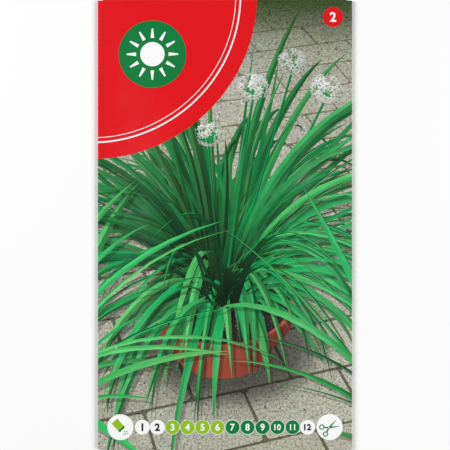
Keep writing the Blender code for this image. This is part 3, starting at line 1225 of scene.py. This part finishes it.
def flat_mesh(sheet, inks):
    """The blank as a mesh, still flat, with its inks on its corners."""
    points, faces, tops, shadows = sheet.cut()
    mesh = bpy.data.meshes.new("envelope_sheet")
    mesh.from_pydata([(x * MM, y * MM, 0.0) for x, y in points], [], faces.tolist())
    corner_points = points[faces]
    colours = np.zeros((len(faces), 3, 4))
    colours[..., 3] = 1
    grain = np.zeros((len(faces), 3, 3))
    places = np.zeros((len(faces), 3, 3))
    order = np.argsort(tops, kind="stable")
    starts = np.flatnonzero(np.diff(tops[order], prepend=-1))
    for rows in np.split(order, starts[1:]):
        ink = sheet.inks[tops[rows[0]]]
        x, y = corner_points[rows, :, 0].ravel(), corner_points[rows, :, 1].ravel()
        shade = np.repeat(shadows[rows], 3)
        tint = ink.colours(x, y) * shade[:, None]
        if ink.in_picture:
            top = ease(TOP_SHADE_FROM, TOP_SHADE_TO, y)[:, None]
            tint = tint * (1 - top) + np.array(inks.top_shade) * top
        colours[rows, :, :3] = tint.reshape(len(rows), 3, 3)
        grain[rows] = ink.grain
        places[rows] = ink.places(x, y).reshape(len(rows), 3, 3)
    write_attribute(mesh, "ink", "FLOAT_COLOR", "CORNER", "color", colours)
    write_attribute(mesh, "grain", "FLOAT_VECTOR", "CORNER", "vector", grain)
    write_attribute(mesh, "grain_place", "FLOAT_VECTOR", "CORNER", "vector", places)
    write_attribute(mesh, "blank", "FLOAT_VECTOR", "POINT", "vector", np.pad(points, ((0, 0), (0, 1))))
    return mesh


def solid_mesh(obj):
    """The object's mesh with its modifiers worked in."""
    graph = bpy.context.evaluated_depsgraph_get()
    mesh = bpy.data.meshes.new_from_object(
        obj.evaluated_get(graph), preserve_all_data_layers=True, depsgraph=graph
    )
    obj.modifiers.clear()
    obj.data = mesh
    return mesh


def read_field(items, field, kind, width=1):
    """One field of all the items, as an array with a row for each."""
    values = np.zeros(len(items) * width, dtype=kind)
    items.foreach_get(field, values)
    return values.reshape(-1, width)


def read_corners(mesh):
    """Each vertex's place on the flat blank, each corner's vertex and each face's number of corners."""
    places = read_field(mesh.attributes["blank"].data, "vector", np.float32, 3)[:, :2]
    corner_verts = read_field(mesh.loops, "vertex_index", np.int32)[:, 0]
    return places, corner_verts, read_field(mesh.polygons, "loop_total", np.int32)[:, 0]


def set_paper_normals(mesh):
    """Shade the paper by its true curve rather than by the uneven triangles of the print."""
    places, corner_verts, sizes = read_corners(mesh)
    vertex_normals = np.array([paper_normal(float(u), float(v)) for u, v in places * MM])
    flat_normals = np.repeat(read_field(mesh.polygons, "normal", np.float32, 3), sizes, axis=0)
    smooth = vertex_normals[corner_verts]
    match = (smooth * flat_normals).sum(axis=1)
    smooth = np.where(match[:, None] < 0, -smooth, smooth)
    normals = np.where(np.abs(match)[:, None] > SAME_CURVE, smooth, flat_normals)
    mesh.normals_split_custom_set(normals.tolist())


def lay_out_map(mesh):
    """A UV map with the printed side flat and whole, and the bare side and edges small in a free corner."""
    flat, corner_verts, sizes = read_corners(mesh)
    bare = np.repeat(read_field(mesh.polygons, "material_index", np.int32) > 0, sizes, axis=0)
    inside = (corner_verts >= len(mesh.vertices) // 2)[:, None]
    places = flat[corner_verts] - (BLANK_LEFT, -BLANK_END)
    small = places * MAP_BARE_SCALE + inside * MAP_EDGE_WIDTH
    small = small + (BLANK_RIGHT - BLANK_LEFT - MAP_BARE_ROOM, 0)
    places = (np.where(bare, small, places) + MAP_MARGIN) / (2 * BLANK_END + 2 * MAP_MARGIN)
    layer = mesh.uv_layers.new(name="OFBake")
    layer.uv.foreach_set("vector", places.astype(np.float32).ravel())


def make_envelope(scene):
    """The folded and printed paper."""
    sheet = print_packet(scene.packet_inks, scene.packet_picture)
    mesh = flat_mesh(sheet, scene.packet_inks)
    for vert in mesh.vertices:
        vert.co = fold(vert.co.x, vert.co.y)
    envelope = bpy.data.objects.new("envelope_paper", mesh)
    scene.collection.objects.link(envelope)
    mesh.materials.append(printed_paper(scene.packet_paper))
    mesh.materials.append(bare_paper(scene.packet_paper))
    thickness = envelope.modifiers.new("Thickness", "SOLIDIFY")
    thickness.thickness = PAPER
    thickness.offset = 0.0
    thickness.material_offset = 1
    thickness.material_offset_rim = 1
    solid = solid_mesh(envelope)
    solid.shade_smooth()
    set_paper_normals(solid)
    lay_out_map(solid)
    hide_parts("envelope")
    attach(envelope, "root")


class OBJECT_OT_packet_envelope(bpy.types.Operator):
    """Fold and print the packet's paper"""

    bl_idname = "object.packet_envelope"
    bl_label = "Envelope"

    def execute(self, context):
        make_envelope(context.scene)
        return {"FINISHED"}


class OBJECT_OT_packet_sachet(bpy.types.Operator):
    """Finish the sachet's films and the seeds inside it"""

    bl_idname = "object.packet_sachet"
    bl_label = "Sachet and seeds"

    def execute(self, context):
        film = sachet_film()
        for name in ("sachet_back_film", "sachet_front_film"):
            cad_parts[name].material_slots[0].material = film
        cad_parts["seeds"].material_slots[0].material = seed_husk()
        return {"FINISHED"}


# The stage.

PHOTO_HEIGHT_SHARE = 1.005
SENSOR = 36.0
FLOOR_SIZE = 6.0
FLOOR_BELOW = 0.02 * MM
LIGHT_SIZE = 0.45
LEFT_LIGHT_SHARE = 1.15
WORLD_STRENGTH = 0.16


def add_light(scene, name, place, power):
    """A soft square light that faces the packet."""
    lamp = bpy.data.lights.new(name, "AREA")
    lamp.size = LIGHT_SIZE
    lamp.energy = power
    light = bpy.data.objects.new(name, lamp)
    light.location = place
    light.rotation_euler = (-Vector(place)).to_track_quat("-Z", "Y").to_euler()
    scene.collection.objects.link(light)


class SCENE_OT_packet_stage(bpy.types.Operator):
    """Lay the floor and set the lights and the camera over the packet"""

    bl_idname = "scene.packet_stage"
    bl_label = "Stage"

    def execute(self, context):
        scene = context.scene
        stage = scene.packet_stage
        bpy.ops.mesh.primitive_plane_add(size=FLOOR_SIZE, location=(0, 0, -FLOOR_BELOW))
        floor = context.active_object
        floor.name = "floor"
        pale = Finish("pale_floor")
        pale.set(Base_Color=(0.98, 0.98, 0.98, 1.0), Roughness=0.9)
        pale.shader.inputs["Specular IOR Level"].default_value = 0.0
        floor.data.materials.append(pale.material)

        camera = bpy.data.cameras.new("camera")
        camera.lens = stage.lens
        camera.sensor_width = SENSOR
        eye = bpy.data.objects.new("camera", camera)
        distance = PACKET_HEIGHT * stage.lens / SENSOR / PHOTO_HEIGHT_SHARE
        eye.location = (0.0, 0.0, EDGE_LEVEL + distance)
        scene.collection.objects.link(eye)
        scene.camera = eye

        add_light(scene, "left_light", (-0.72, 0.20, 0.55), stage.key_power * LEFT_LIGHT_SHARE)
        add_light(scene, "right_light", (0.72, -0.05, 0.55), stage.key_power)
        world = bpy.data.worlds.new("studio")
        scene.world = world
        world.use_nodes = True
        background = world.node_tree.nodes["Background"]
        background.inputs["Color"].default_value = (1.0, 1.0, 1.0, 1.0)
        background.inputs["Strength"].default_value = WORLD_STRENGTH
        scene.view_settings.view_transform = "Standard"
        return {"FINISHED"}


class VIEW3D_PT_seed_packet(bpy.types.Panel):
    """Lists the packet's settings and steps"""

    bl_label = "Seed packet"
    bl_idname = "VIEW3D_PT_seed_packet"
    bl_space_type = "VIEW_3D"
    bl_region_type = "UI"
    bl_category = "Seed packet"

    def draw(self, context):
        for settings in ("packet_inks", "packet_paper", "packet_picture", "packet_stage"):
            group = getattr(context.scene, settings)
            for name in group.__annotations__:
                self.layout.prop(group, name)
        for operator in OPERATORS:
            self.layout.operator(operator.bl_idname)


OPERATORS = (SCENE_OT_packet_stage, OBJECT_OT_packet_envelope, OBJECT_OT_packet_sachet)
GROUPS = {
    "packet_inks": PacketInks,
    "packet_paper": PacketPaper,
    "packet_picture": PacketPicture,
    "packet_stage": PacketStage,
}


def register():
    for name, group in GROUPS.items():
        bpy.utils.register_class(group)
        setattr(bpy.types.Scene, name, bpy.props.PointerProperty(type=group))
    for operator in OPERATORS:
        bpy.utils.register_class(operator)
    bpy.utils.register_class(VIEW3D_PT_seed_packet)


def unregister():
    bpy.utils.unregister_class(VIEW3D_PT_seed_packet)
    for operator in reversed(OPERATORS):
        bpy.utils.unregister_class(operator)
    for name, group in GROUPS.items():
        delattr(bpy.types.Scene, name)
        bpy.utils.unregister_class(group)


def main():
    register()
    bpy.ops.scene.packet_stage()
    bpy.ops.object.packet_envelope()
    bpy.ops.object.packet_sachet()


if __name__ == "__main__":
    main()
